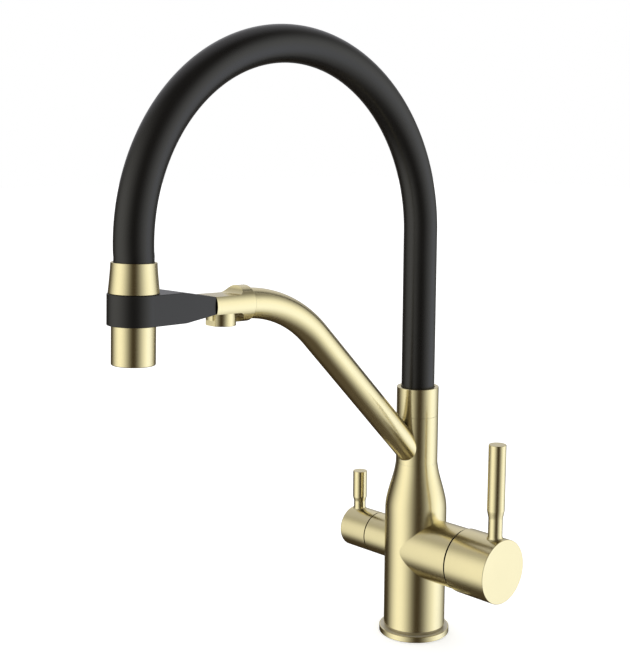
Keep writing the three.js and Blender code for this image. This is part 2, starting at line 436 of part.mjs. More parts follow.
// black dock: ring for the spray head and the arm back to the hub
const dockSide = prismYZ([[0, RING_FOOT], [29.5, RING_FOOT], [DOCK_TIP, DOCK_TIP_FOOT], [DOCK_TIP, DOCK_TIP_TOP],
  [26.5, RING_TOP], [0, RING_TOP]], -20, 20);
const dockPlan = prismXY([[-RING_R, 0], [RING_R, 0], [DOCK_TIP_W, DOCK_TIP], [-DOCK_TIP_W, DOCK_TIP]], -20, 20);
const dockRing = turned([[0, RING_FOOT], [RING_R - 0.35, RING_FOOT], [RING_R, RING_FOOT + 0.35], [RING_R, RING_TOP - 0.35],
  [RING_R - 0.35, RING_TOP], [0, RING_TOP]], FINE);
const dockBore = turned([[0, -20], [RING_BORE, -20], [RING_BORE, 7.4], [14.5, RING_TOP], [14.5, 20], [0, 20]], FINE);
const dockBody = dockSide.intersect(dockPlan).add(dockRing).subtract(dockBore)
  .subtract(block(-5.3, 5.3, 39.4, 60, -4.8, 2.3))
  .subtract(bar([0, 46, -20], [0, 46, -5.9], 3.1, 16))
  .subtract(bar([0, 46, -7], [0, 46, -4], 1.8, TINY));
dock.add(piece('dock_holder', dockBody, black()));
dock.add(piece('dock_screw', turned([[0, -7.5], [2.8, -7.5], [2.8, -6.2], [1.5, -6.2], [1.5, -1.2], [0, -1.2]], TINY)
  .translate([0, 46, 0]), steel()));

// -------------------------------------------------------------- spray head
dock.add(piece('hose_end_fitting', turned([[4, 3], [9.2, 3], [9.7, 3.5], [9.7, 8], [8.5, 8], [8.5, 10.4], [9.7, 10.4],
  [9.7, 16], [5.6, 16], [5.6, 28.5], [5.1, 30], [4, 30]], SMALL), brass()));
dock.add(piece('hose_end_oring', oring(9.1 + 0.15, 0.55, 9.2), rubber()));
dock.add(piece('spray_head_shell', turned([[11.3, HEAD_FOOT + 0.2], [11.6, HEAD_FOOT], [12.5, HEAD_FOOT + 0.4],
  [HEAD_R, HEAD_FOOT + 1.6], [HEAD_R, HEAD_SHOULDER], ...HEAD_CONE, [12.3, HEAD_TOP],
  [12.3, 16.3], [10, 16.3], [10, 2], [11.3, 2]], FINE), gold()));
dock.add(piece('spray_check_valve', turned([[3.5, -8], [10.9, -8], [10.9, 1.4], [8, 1.4], [8, -5], [3.5, -5]], SMALL), white()));
dock.add(piece('spray_insert', turned([[9.2, -30], [10.9, -30], [10.9, -8.3], [2.8, -8.3], [2.8, -11.3], [9.2, -11.3]], SMALL), white()));
let face = rod(10.9, -33.1, -30.3, SMALL);
for (let i = 0; i < 8; i++) face = face.subtract(rod(1.1, -34, -30, 6)
  .translate([7.4 * Math.cos(rad(45 * i)), 7.4 * Math.sin(rad(45 * i)), 0]));
dock.add(piece('spray_face_plate', face.subtract(rod(2.4, -34, -30, TINY)), rubber()));

export default tap;
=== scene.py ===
# Three way filtered water tap: smooth visible skins, materials, studio and camera
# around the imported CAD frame. Metres in Blender; the shape tables are in millimetres.
import json
import math

import bmesh
import bpy
import numpy as np
from mathutils import Matrix, Vector


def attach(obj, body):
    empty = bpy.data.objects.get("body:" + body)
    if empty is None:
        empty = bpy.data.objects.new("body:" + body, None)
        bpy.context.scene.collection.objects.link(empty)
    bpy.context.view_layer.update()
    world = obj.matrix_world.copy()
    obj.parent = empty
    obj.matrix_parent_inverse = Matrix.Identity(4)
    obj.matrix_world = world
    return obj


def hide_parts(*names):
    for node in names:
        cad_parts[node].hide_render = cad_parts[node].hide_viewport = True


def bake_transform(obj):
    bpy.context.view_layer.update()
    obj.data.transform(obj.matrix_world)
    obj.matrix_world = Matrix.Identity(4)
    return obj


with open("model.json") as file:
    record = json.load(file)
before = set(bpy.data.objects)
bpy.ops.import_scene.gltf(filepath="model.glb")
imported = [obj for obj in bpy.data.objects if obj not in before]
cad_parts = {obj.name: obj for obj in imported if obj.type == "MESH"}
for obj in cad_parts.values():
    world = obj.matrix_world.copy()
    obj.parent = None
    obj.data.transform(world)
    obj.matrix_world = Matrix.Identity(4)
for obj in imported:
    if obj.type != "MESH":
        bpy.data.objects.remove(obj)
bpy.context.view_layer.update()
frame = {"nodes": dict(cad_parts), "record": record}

MM = 0.001
scene = bpy.context.scene

# --------------------------------------------------------------------------- sizes (mm)
MIX_Z, FIL_Z = 67.08, 66.58
DOCK_Y, DOCK_Z, LEAN = -248.74, 269.0, math.radians(1.85)
TO_DOCK = Matrix.Translation((0, DOCK_Y * MM, DOCK_Z * MM)) @ Matrix.Rotation(-LEAN, 4, "X")
ALONG_X = Matrix.Rotation(math.pi / 2, 4, "Y")        # turned pieces: local z -> world +X
ALONG_MINUS_X = Matrix.Rotation(-math.pi / 2, 4, "Y")


def link(obj):
    scene.collection.objects.link(obj)
    return obj


# --------------------------------------------------------------------------- mesh helpers
def fillet(points, steps=5):
    """Closed profile of (r, z) or (r, z, radius) points, with each stated corner rounded."""
    out, n = [], len(points)
    for i, p in enumerate(points):
        P = np.array(p[:2], float)
        radius = p[2] if len(p) > 2 else 0.0
        if not radius:
            out.append(tuple(P))
            continue
        A, B = np.array(points[i - 1][:2], float), np.array(points[(i + 1) % n][:2], float)
        la, lb = np.linalg.norm(A - P), np.linalg.norm(B - P)
        u, v = (A - P) / la, (B - P) / lb
        half = math.acos(max(-1.0, min(1.0, float(u @ v)))) / 2
        t = min(radius / math.tan(half), 0.46 * la, 0.46 * lb)
        r = t * math.tan(half)
        w = (u + v) / np.linalg.norm(u + v)
        c = P + w * r / math.sin(half)
        s, e = P + u * t, P + v * t
        a0 = math.atan2(*(s - c)[::-1])
        a1 = math.atan2(*(e - c)[::-1])
        d = (a1 - a0 + math.pi) % (2 * math.pi) - math.pi
        lead = min(0.35 * t, 0.25)
        if la > t + 2 * lead:
            out.append(tuple(P + u * (t + lead)))
        for k in range(steps + 1):
            a = a0 + d * k / steps
            out.append((float(c[0] + r * math.cos(a)), float(c[1] + r * math.sin(a))))
        if lb > t + 2 * lead:
            out.append(tuple(P + v * (t + lead)))
    return out


def add_turned(bm, profile, seg=96, matrix=None, closed=True):
    """Adds a turned solid about local z. A profile that starts and ends on the axis is capped there."""
    rows = []
    for r, z in profile:
        if r < 1e-9:
            rows.append([bm.verts.new((0, 0, z * MM))])
        else:
            rows.append([bm.verts.new((r * MM * math.cos(2 * math.pi * k / seg),
                                       r * MM * math.sin(2 * math.pi * k / seg), z * MM)) for k in range(seg)])
    made = [v for row in rows for v in row]
    pairs = list(zip(rows, rows[1:]))
    if closed and len(rows[0]) > 1:
        pairs.append((rows[-1], rows[0]))
    for a, b in pairs:
        for k in range(seg):
            j = (k + 1) % seg
            if len(a) == 1 and len(b) == 1:
                continue
            if len(a) == 1:
                bm.faces.new((a[0], b[j], b[k]))
            elif len(b) == 1:
                bm.faces.new((a[k], a[j], b[0]))
            else:
                bm.faces.new((a[k], a[j], b[j], b[k]))
    if matrix is not None:
        bmesh.ops.transform(bm, matrix=matrix, verts=made)
    return made


def add_box(bm, lo, hi, matrix=None):
    made = bmesh.ops.create_cube(bm, size=1.0)["verts"]
    m = Matrix.Translation([(a + b) / 2 * MM for a, b in zip(lo, hi)]) @ Matrix.Diagonal(
        [(b - a) * MM for a, b in zip(lo, hi)] + [1.0])
    if matrix is not None:
        m = matrix @ m
    bmesh.ops.transform(bm, matrix=m, verts=made)
    return made


def add_prism(bm, outline, axis, a, b, matrix=None):
    """Prism of a closed outline. axis X: outline is (y, z); Y: (x, z); Z: (x, y)."""
    def place(p, h):
        u, v = p
        return {"X": (h, u, v), "Y": (u, h, v), "Z": (u, v, h)}[axis]
    low = [bm.verts.new([c * MM for c in place(p, a)]) for p in outline]
    top = [bm.verts.new([c * MM for c in place(p, b)]) for p in outline]
    n = len(outline)
    faces = [bm.faces.new(low[::-1]), bm.faces.new(top)]
    for i in range(n):
        j = (i + 1) % n
        faces.append(bm.faces.new((low[i], low[j], top[j], top[i])))
    bmesh.ops.recalc_face_normals(bm, faces=faces)
    if matrix is not None:
        bmesh.ops.transform(bm, matrix=matrix, verts=low + top)
    return low + top


def add_swept(bm, points, tangents, side, radius, seg=48, bore=0.0):
    """Round tube along a path. side is a direction never parallel to the path."""
    def rings(r):
        out = []
        for p, t in zip(points, tangents):
            x = Vector(side) - t * t.dot(Vector(side))
            x.normalize()
            y = t.cross(x)
            out.append([bm.verts.new((p + x * math.cos(2 * math.pi * k / seg) * r
                                      + y * math.sin(2 * math.pi * k / seg) * r) * MM) for k in range(seg)])
        return out
    outer = rings(radius)
    inner = rings(bore) if bore else None
    for a, b in zip(outer, outer[1:]):
        for k in range(seg):
            j = (k + 1) % seg
            bm.faces.new((a[k], a[j], b[j], b[k]))
    if inner:
        for a, b in zip(inner, inner[1:]):
            for k in range(seg):
                j = (k + 1) % seg
                bm.faces.new((a[j], a[k], b[k], b[j]))
        for o, i, flip in ((outer[0], inner[0], False), (outer[-1], inner[-1], True)):
            for k in range(seg):
                j = (k + 1) % seg
                f = (o[j], o[k], i[k], i[j])
                bm.faces.new(f[::-1] if flip else f)
    else:
        bm.faces.new(outer[0][::-1])
        bm.faces.new(outer[-1])


def mesh_object(name, bm, sharp=35.0, smooth=True):
    """Object of a bmesh: outward normals, smooth faces, edges sharper than the angle kept sharp."""
    bmesh.ops.recalc_face_normals(bm, faces=bm.faces)
    bm.normal_update()
    for f in bm.faces:
        f.smooth = smooth
    limit = math.radians(sharp)
    for e in bm.edges:
        e.smooth = not (len(e.link_faces) == 2 and e.calc_face_angle(0) > limit)
    me = bpy.data.meshes.new(name)
    bm.to_mesh(me)
    bm.free()
    return link(bpy.data.objects.new(name, me))


def cut(obj, build, operation="DIFFERENCE"):
    """Exact boolean of obj with the solid that build(bm) makes, applied to the mesh."""
    bm = bmesh.new()
    build(bm)
    bmesh.ops.recalc_face_normals(bm, faces=bm.faces)
    me = bpy.data.meshes.new("cutter")
    bm.to_mesh(me)
    bm.free()
    tool = link(bpy.data.objects.new("cutter", me))
    m = obj.modifiers.new("cut", "BOOLEAN")
    m.operation, m.solver, m.object = operation, "EXACT", tool
    bpy.context.view_layer.update()
    made = bpy.data.meshes.new_from_object(obj.evaluated_get(bpy.context.evaluated_depsgraph_get()))
    obj.modifiers.remove(m)
    old, obj.data = obj.data, made
    made.name = obj.name
    bpy.data.meshes.remove(old)
    bpy.data.objects.remove(tool)
    bpy.data.meshes.remove(me)
    return obj


def resharpen(obj, sharp=35.0):
    bm = bmesh.new()
    bm.from_mesh(obj.data)
    bmesh.ops.remove_doubles(bm, verts=bm.verts, dist=1e-7)
    bm.normal_update()
    limit = math.radians(sharp)
    for f in bm.faces:
        f.smooth = True
    for e in bm.edges:
        e.smooth = not (len(e.link_faces) == 2 and e.calc_face_angle(0) > limit)
    bm.to_mesh(obj.data)
    bm.free()
    return obj


def weigh(obj):
    m = obj.modifiers.new("weighted_normals", "WEIGHTED_NORMAL")
    m.keep_sharp = True
    m.weight = 90
    return obj


def monotone(points, step):
    """Smooth curve r(z) through [z, r] points, without overshoot, as (r, z) at the given step."""
    z = np.array([p[0] for p in points], float)
    r = np.array([p[1] for p in points], float)
    h = np.diff(z)
    d = np.diff(r) / h
    m = np.zeros(len(z))
    for i in range(1, len(z) - 1):
        if d[i - 1] * d[i] > 0:
            w1, w2 = 2 * h[i] + h[i - 1], h[i] + 2 * h[i - 1]
            m[i] = (w1 + w2) / (w1 / d[i - 1] + w2 / d[i])
    m[0], m[-1] = d[0], d[-1]
    zs = np.arange(z[0], z[-1] + 1e-9, step)
    out = []
    for q in zs:
        i = min(int(np.searchsorted(z, q, side="right")) - 1, len(z) - 2)
        t = (q - z[i]) / h[i]
        out.append((2 * t**3 - 3 * t**2 + 1) * r[i] + (t**3 - 2 * t**2 + t) * h[i] * m[i]
                   + (-2 * t**3 + 3 * t**2) * r[i + 1] + (t**3 - t**2) * h[i] * m[i + 1])
    out = np.array(out)
    for _ in range(3):  # ease the small unevenness between the points
        mid = 0.25 * out[:-2] + 0.5 * out[1:-1] + 0.25 * out[2:]
        out[1:-1] = mid
    return list(zip(out.tolist(), zs.tolist()))


# --------------------------------------------------------------------------- materials
def node(nt, kind, at=(0, 0), **inputs):
    n = nt.nodes.new(kind)
    n.location = at
    for k, v in inputs.items():
        n.inputs[k.replace("_", " ")].default_value = v
    return n


def fresh(name):
    m = bpy.data.materials.new(name)
    m.use_nodes = True
    nt = m.node_tree
    nt.nodes.clear()
    out = nt.nodes.new("ShaderNodeOutputMaterial")
    out.location = (700, 0)
    b = nt.nodes.new("ShaderNodeBsdfPrincipled")
    b.location = (400, 0)
    nt.links.new(b.outputs[0], out.inputs[0])
    return m, nt, b


def brushed_gold(name, stretch, base=(0.90, 0.795, 0.475), rough=0.23, metal=1.0):
    """Pale gold with fine brushing: long grain along one axis in roughness, colour and bump."""
    m, nt, b = fresh(name)
    b.inputs["Metallic"].default_value = metal
    b.inputs["Specular IOR Level"].default_value = 0.5
    tc = node(nt, "ShaderNodeTexCoord", (-1300, 0))
    mp = node(nt, "ShaderNodeMapping", (-1100, 0))
    mp.inputs["Scale"].default_value = stretch
    nt.links.new(tc.outputs["Object"], mp.inputs["Vector"])
    grain = node(nt, "ShaderNodeTexNoise", (-850, 120), Scale=1.0, Detail=4.0, Roughness=0.6)
    nt.links.new(mp.outputs[0], grain.inputs["Vector"])
    cloud = node(nt, "ShaderNodeTexNoise", (-850, -200), Scale=24.0, Detail=3.0, Roughness=0.5)
    nt.links.new(tc.outputs["Object"], cloud.inputs["Vector"])
    r = node(nt, "ShaderNodeMapRange", (-550, 40))
    r.inputs["From Min"].default_value, r.inputs["From Max"].default_value = 0.3, 0.7
    r.inputs["To Min"].default_value, r.inputs["To Max"].default_value = rough - 0.02, rough + 0.025
    nt.links.new(grain.outputs["Fac"], r.inputs["Value"])
    nt.links.new(r.outputs[0], b.inputs["Roughness"])
    mix = node(nt, "ShaderNodeMix", (-300, 220))
    mix.data_type = "RGBA"
    mix.inputs["A"].default_value = (*[c * 0.965 for c in base], 1)
    mix.inputs["B"].default_value = (*[min(1, c * 1.03) for c in base], 1)
    nt.links.new(cloud.outputs["Fac"], mix.inputs["Factor"])
    nt.links.new(mix.outputs["Result"], b.inputs["Base Color"])
    bump = node(nt, "ShaderNodeBump", (-100, -260), Strength=0.05, Distance=0.00001)
    nt.links.new(grain.outputs["Fac"], bump.inputs["Height"])
    nt.links.new(bump.outputs[0], b.inputs["Normal"])
    return m


def moulded(name, base, rough=0.42, spread=0.05, scale=1400.0, strength=0.08, spec=0.5, sheen=(1.0, 1.0, 1.0)):
    """Moulded plastic or rubber: fine pebble in bump and roughness, faint colour drift."""
    m, nt, b = fresh(name)
    b.inputs["Specular IOR Level"].default_value = spec
    b.inputs["Specular Tint"].default_value = (*sheen, 1)
    tc = node(nt, "ShaderNodeTexCoord", (-1100, 0))
    fine = node(nt, "ShaderNodeTexNoise", (-850, 100), Scale=scale, Detail=2.0, Roughness=0.5)
    nt.links.new(tc.outputs["Object"], fine.inputs["Vector"])
    cloud = node(nt, "ShaderNodeTexNoise", (-850, -200), Scale=30.0, Detail=3.0, Roughness=0.55)
    nt.links.new(tc.outputs["Object"], cloud.inputs["Vector"])
    r = node(nt, "ShaderNodeMapRange", (-550, 0))
    r.inputs["To Min"].default_value, r.inputs["To Max"].default_value = rough - spread, rough + spread
    nt.links.new(cloud.outputs["Fac"], r.inputs["Value"])
    nt.links.new(r.outputs[0], b.inputs["Roughness"])
    mix = node(nt, "ShaderNodeMix", (-300, 220))
    mix.data_type = "RGBA"
    mix.inputs["A"].default_value = (*[c * 0.85 for c in base], 1)
    mix.inputs["B"].default_value = (*[min(1, c * 1.15) for c in base], 1)
    nt.links.new(cloud.outputs["Fac"], mix.inputs["Factor"])
    nt.links.new(mix.outputs["Result"], b.inputs["Base Color"])
    bump = node(nt, "ShaderNodeBump", (-100, -260), Strength=strength, Distance=0.00005)
    nt.links.new(fine.outputs["Fac"], bump.inputs["Height"])
    nt.links.new(bump.outputs[0], b.inputs["Normal"])
    return m


def machined(name, base, rough=0.3):
    """Bare turned metal: concentric tool marks and a slight stain."""
    m, nt, b = fresh(name)
    b.inputs["Metallic"].default_value = 1.0
    tc = node(nt, "ShaderNodeTexCoord", (-1100, 0))
    marks = node(nt, "ShaderNodeTexNoise", (-850, 100), Scale=900.0, Detail=3.0, Roughness=0.6)
    nt.links.new(tc.outputs["Object"], marks.inputs["Vector"])
    stain = node(nt, "ShaderNodeTexNoise", (-850, -200), Scale=60.0, Detail=4.0, Roughness=0.6)
    nt.links.new(tc.outputs["Object"], stain.inputs["Vector"])
    r = node(nt, "ShaderNodeMapRange", (-550, 0))
    r.inputs["To Min"].default_value, r.inputs["To Max"].default_value = rough - 0.08, rough + 0.12
    nt.links.new(stain.outputs["Fac"], r.inputs["Value"])
    nt.links.new(r.outputs[0], b.inputs["Roughness"])
    mix = node(nt, "ShaderNodeMix", (-300, 220))
    mix.data_type = "RGBA"
    mix.inputs["A"].default_value = (*[c * 0.8 for c in base], 1)
    mix.inputs["B"].default_value = (*base, 1)
    nt.links.new(stain.outputs["Fac"], mix.inputs["Factor"])
    nt.links.new(mix.outputs["Result"], b.inputs["Base Color"])
    bump = node(nt, "ShaderNodeBump", (-100, -260), Strength=0.1, Distance=0.00004)
    nt.links.new(marks.outputs["Fac"], bump.inputs["Height"])
    nt.links.new(bump.outputs[0], b.inputs["Normal"])
    return m


# brushing runs round the upright parts and round the horizontal parts
GOLD_UP = brushed_gold("brushed_gold_upright", (60, 60, 2600))
GOLD_X = brushed_gold("brushed_gold_side", (2600, 60, 60))
GOLD_ARM = brushed_gold("brushed_gold_pipe", (2200, 60, 60))
GOLD_Y = brushed_gold("brushed_gold_hub", (60, 2600, 60))
# darker, less metallic gold for the foot band: painted shade for the dark crease where the body meets the flange
GOLD_FOOT_SHADE = brushed_gold("painted_shade_gold_foot", (60, 60, 2600), (0.56, 0.49, 0.325), 0.30, 0.92)
# paler, half-metallic gold for the flange's top: painted light, a lit copy of the gold
GOLD_LIP_LIT = brushed_gold("painted_light_gold_lip", (60, 60, 2600), (0.66, 0.61, 0.48), 0.34, 0.6)
BLACK = moulded("matte_black_plastic", (0.0055, 0.0055, 0.0058), rough=0.32, spec=0.6, sheen=(0.97, 0.94, 0.90))
HOSE = moulded("black_hose", (0.0055, 0.0055, 0.0056), rough=0.29, scale=900.0, strength=0.05, spec=0.6, sheen=(0.96, 0.93, 0.89))
RUBBER = moulded("black_rubber", (0.014, 0.014, 0.014), rough=0.6)
# near-black, almost shineless colour for the seam rings: painted shadow of the gap between boss and cap
SEAM_SHADE = moulded("painted_seam_shadow", (0.004, 0.004, 0.003), rough=0.7, spec=0.1)
WHITE = moulded("white_plastic", (0.78, 0.78, 0.76), rough=0.45, strength=0.05)
CERAMIC = moulded("ceramic", (0.86, 0.84, 0.79), rough=0.18, scale=2600.0, strength=0.03)
BRASS = machined("raw_brass", (0.72, 0.58, 0.30))
STEEL = machined("machined_steel", (0.62, 0.63, 0.64), rough=0.28)
BY_SLOT = {"brushed_gold": GOLD_UP, "matte_black": BLACK, "hose_black": HOSE, "black_rubber": RUBBER,
           "raw_brass": BRASS, "steel": STEEL, "white_plastic": WHITE, "ceramic": CERAMIC}
slot_of = {s["node"]: s["material_slot"] for s in frame["record"]["subparts"]}
for name, obj in frame["nodes"].items():
    obj.data.materials.clear()
    obj.data.materials.append(BY_SLOT[slot_of[name]])


def put(obj, body, material, slot, *nodes):
    obj.data.materials.clear()
    obj.data.materials.append(material)
    weigh(obj)
    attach(obj, body)
    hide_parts(*nodes)
    return obj


# --------------------------------------------------------------------------- flange
bm = bmesh.new()
add_turned(bm, fillet([(18, 0), (19.4, 0), (19.4, 1.2), (22.4, 1.2), (22.4, 0), (26, 0, 0.35), (26, 4.2, 0.5), (25.3, 4.2), (25.3, 3.9), (18, 3.9)]), 160)
put(mesh_object("flange_skin", bm), "base", GOLD_UP, "brushed_gold", "base_flange")
# thin top skin of the flange in the paler gold: painted light on the flange's top face
bm = bmesh.new()
add_turned(bm, [(18, 3.92), (25.28, 3.92), (25.28, 4.2), (22, 4.2), (18, 4.2)], 160)
put(mesh_object("flange_top_skin", bm), "base", GOLD_LIP_LIT, "brushed_gold")

# --------------------------------------------------------------------------- body with both bosses
TAPER = [(86, 22.67), (89.5, 22.67), (92.8, 22.66), (97.5, 22.56), (100.6, 22.24), (103.6, 21.72), (106.7, 21.03), (109.7, 20.24),
         (112.8, 19.38), (115.8, 18.52), (118.8, 17.66), (121.9, 16.84), (124.9, 16.15), (128.0, 15.62), (130.47, 15.27)]
outer = [(0, 42), (18, 42), (18, 6.5), (22.6, 6.5), (22.67, 6.57)]
outer = [p for p in outer if p[1] < 80] + [(22.67, 40), (22.67, 80)] + monotone(TAPER, 1.0) + [(15.26, 130.47)]
outer += [(12.0, 130.47), (12.0, 161.5), (0, 161.5)]
bm = bmesh.new()
add_turned(bm, outer, 192)
body = mesh_object("casting_skin", bm)
# foot ring skin in the darker gold: painted shade in the crease between body and flange
bm = bmesh.new()
add_turned(bm, fillet([(18, 4.3), (22.2, 4.3), (22.35, 6.2, 0.2), (22.62, 6.45, 0.05), (22.62, 6.48), (18, 6.48)]), 192)
put(mesh_object("foot_ring_skin", bm), "base", GOLD_FOOT_SHADE, "brushed_gold")


def ports(b):
    for x, y, r in ((2, -9, 4), (2, 9, 4), (-11, 0, 2.8), (10.5, 0, 3.4)):
        add_turned(b, [(0, 38), (r, 38), (r, 47), (0, 47)], 32, Matrix.Translation((x * MM, y * MM, 0)))


cut(body, ports)
resharpen(body)


def boss(name, profile, z, turn, relief=None):
    b = bmesh.new()
    add_turned(b, fillet(profile), 160, Matrix.Translation((0, 0, z * MM)) @ turn)
    o = mesh_object(name, b)
    if relief:
        cut(o, relief)
        resharpen(o)
    return o


def tilt_relief(b):
    add_prism(b, [(48.23, MIX_Z - 14.2), (42.6, MIX_Z - 23), (49, MIX_Z - 23), (49, MIX_Z - 14.2)], "Y", -17.5, 17.5)


mix_boss = boss("mix_boss", [(0, 3), (22.2, 3), (22.2, 46.35, 0.12), (20.1, 46.35), (20.1, 47.85), (17.9, 47.85), (17.9, 9), (0, 9)],
                MIX_Z, ALONG_X, tilt_relief)
fil_boss = boss("fil_boss", [(0, 8), (15.32, 8), (15.32, 37.9, 0.12), (13, 37.9), (13, 38.45), (10.5, 38.45), (10.5, 17), (0, 17)],
                FIL_Z, ALONG_MINUS_X)
put(body, "base", GOLD_UP, "brushed_gold", "tap_body")
# recessed rings in the seams between bosses and caps; their near-black matt colour is painted shadow of the gap
put(boss("mixer_seam_skin", [(20.2, 46.45), (21.95, 46.45, 0.1), (21.95, 47.8, 0.1), (20.2, 47.8)], MIX_Z, ALONG_X, tilt_relief),
    "base", SEAM_SHADE, "black_rubber", "mixer_seam_ring")
put(boss("filter_seam_skin", [(13.1, 38), (15.07, 38, 0.08), (15.07, 38.5, 0.08), (13.1, 38.5)], FIL_Z, ALONG_MINUS_X),
    "base", SEAM_SHADE, "black_rubber", "filter_seam_ring")
for o in (mix_boss, fil_boss):
    o.data.materials.append(GOLD_X)
    weigh(o)
    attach(o, "base")

# --------------------------------------------------------------------------- mixer cap and lever
bm = bmesh.new()
add_turned(bm, fillet([(0, 54), (8, 54), (8, 66), (20, 66), (20, 58), (22.5, 58), (22.5, 48.15), (23.04, 48.15, 0.12),
                       (23.04, 82.16, 0.45), (0, 82.16)], 6), 192, Matrix.Translation((0, 0, MIX_Z * MM)) @ ALONG_X)
cap = mesh_object("mixer_cap_skin", bm)
cut(cap, lambda b: add_prism(b, [(47.77, MIX_Z - 14.2), (53.2, MIX_Z - 23.75), (47, MIX_Z - 23.75), (47, MIX_Z - 14.2)], "Y", -18.5, 18.5))
cut(cap, lambda b: add_turned(b, [(0, 4), (2, 4), (2, 30), (0, 30)], 32,
                              Matrix.Translation((69 * MM, 0, MIX_Z * MM)) @ Matrix.Rotation(math.pi, 4, "X")))
cut(cap, lambda b: add_box(b, (53, -4.2, MIX_Z - 4.3), (72.3, 4.2, MIX_Z + 4.3)))
resharpen(cap)
put(cap, "mixer_handle", GOLD_X, "brushed_gold", "mixer_cap")


def lever(name, x, axis_z, cap_r, neck_r, grip_r, taper, top, flare, flare_h, seg=96):
    """Upright lever on a horizontal cap: its foot follows the cap's curve, with a small flare."""
    b = bmesh.new()
    rows = []

    def row(r, height, over_cap):
        out = []
        for k in range(seg):
            a = 2 * math.pi * k / seg
            px, py = r * math.cos(a), r * math.sin(a)
            z = axis_z + math.sqrt(cap_r**2 - py**2) + height if over_cap else height
            out.append(b.verts.new(((x + px) * MM, py * MM, z * MM)))
        rows.append(out)

    row(neck_r + flare, -0.6, True)
    for k in range(0, 7):
        a = math.pi / 2 * k / 6
        row(neck_r + flare * (1 - math.sin(a)), 0.02 + flare_h * (1 - math.cos(a)), True)
    base = axis_z + cap_r
    start = base + flare_h + 1.0
    for z in np.linspace(start, taper[0] - 0.8, 5):
        row(neck_r, float(z), False)
    for k in range(0, 13):
        s = k / 12
        e = s * s * (3 - 2 * s)
        e = 0.72 * s + 0.28 * e
        row(neck_r + (grip_r - neck_r) * e, taper[0] + (taper[1] - taper[0]) * s, False)
    for z in np.linspace(taper[1] + 0.8, top - 0.7, 6):
        row(grip_r, float(z), False)
    for k in range(0, 6):
        a = math.pi / 2 * k / 5
        row(grip_r - 0.35 * (1 - math.cos(a)), top - 0.35 * (1 - math.sin(a)), False)
    row(grip_r - 0.6, top, False)
    for lo, hi in zip(rows, rows[1:]):
        for k in range(seg):
            j = (k + 1) % seg
            b.faces.new((lo[k], lo[j], hi[j], hi[k]))
    b.faces.new(rows[0][::-1])
    b.faces.new(rows[-1])
    return mesh_object(name, b)


put(lever("mixer_lever_skin", 74.4, MIX_Z, 23.04, 5.07, 6.15, (104.6, 110.4), 157.3, 1.3, 2.2),
    "mixer_handle", GOLD_UP, "brushed_gold", "mixer_lever")

# --------------------------------------------------------------------------- filter cap and lever
bm = bmesh.new()
add_turned(bm, fillet([(0, 46), (7, 46), (7, 52), (12.5, 52), (12.5, 38.75), (15.32, 38.75, 0.12), (15.32, 63.96, 0.9), (0, 63.96)], 7),
           160, Matrix.Translation((0, 0, FIL_Z * MM)) @ ALONG_MINUS_X)
fcap = mesh_object("filter_cap_skin", bm)
cut(fcap, lambda b: add_turned(b, [(0, 4), (1.7, 4), (1.7, 20), (0, 20)], 32,
                               Matrix.Translation((-54.5 * MM, 0, FIL_Z * MM)) @ Matrix.Rotation(math.pi, 4, "X")))
cut(fcap, lambda b: add_turned(b, [(0, 40), (4.3, 40), (4.3, 57), (0, 57)], 48, Matrix.Translation((0, 0, FIL_Z * MM)) @ ALONG_MINUS_X))
resharpen(fcap)
put(fcap, "filter_handle", GOLD_X, "brushed_gold", "filter_cap")
put(lever("filter_lever_skin", -58, FIL_Z, 15.32, 4.5, 5.33, (87.6, 90.9), 111.35, 1.1, 1.6, 80),
    "filter_handle", GOLD_UP, "brushed_gold", "filter_lever")

# --------------------------------------------------------------------------- neck sleeve and collar
bm = bmesh.new()
add_turned(bm, fillet([(13.2, 130.56), (15.27, 130.53), (15.24, 132.5), (15.24, 165.91, 0.08), (13.8, 165.91), (13.8, 158.6), (12.3, 158.6), (12.3, 157), (13.2, 157)]), 160)
put(mesh_object("sleeve_skin", bm), "spout", GOLD_UP, "brushed_gold", "neck_sleeve")
bm = bmesh.new()
add_turned(bm, fillet([(12.3, 170.3), (8.6, 170.3), (8.6, 162.4), (13.5, 162.4), (13.5, 165.99), (15.24, 165.99, 0.08), (15.24, 187, 0.45), (12.3, 187, 0.3)]), 160)
put(mesh_object("collar_skin", bm), "spout", GOLD_UP, "brushed_gold", "hose_collar")

# --------------------------------------------------------------------------- arm pipe
RISE, BEND_R, BEND_END, ROOT_Z = math.radians(45.167), 90.2, (-165.06, 263.69), 132.53


def heading(a):
    return Vector((0, -math.cos(a), math.sin(a)))


def upward(a):
    return Vector((0, math.sin(a), math.cos(a)))


centre = Vector((0, *BEND_END)) - upward(LEAN) * BEND_R
root = Vector((0, 0, ROOT_Z))
bend_start = centre + upward(RISE) * BEND_R
pts, tans = [], []
run = (bend_start - root).length
for s in np.linspace(9.0, run - 1.5, 14):
    pts.append(root + (bend_start - root) * (s / run))
    tans.append(heading(RISE))
for k in range(0, 41):
    a = RISE + (LEAN - RISE) * k / 40
    pts.append(centre + upward(a) * BEND_R)
    tans.append(heading(a))
pts.append(pts[-1] + heading(LEAN) * 1.4)
tans.append(heading(LEAN))
bm = bmesh.new()
add_swept(bm, pts, tans, (1, 0, 0), 9.82, 96, 7.5)
put(mesh_object("arm_skin", bm), "spout", GOLD_ARM, "brushed_gold", "spout_arm")

# --------------------------------------------------------------------------- hub, nozzle
bm = bmesh.new()
add_turned(bm, fillet([(0, 53.7), (11.5, 53.7, 0.15), (11.5, 85, 1.0), (9.9, 85), (9.9, 78.5), (0, 78.5)], 7), 160,
           TO_DOCK @ Matrix.Translation((0, 0, -2.3 * MM)) @ Matrix.Rotation(-math.pi / 2, 4, "X"))
hub = mesh_object("hub_skin", bm)


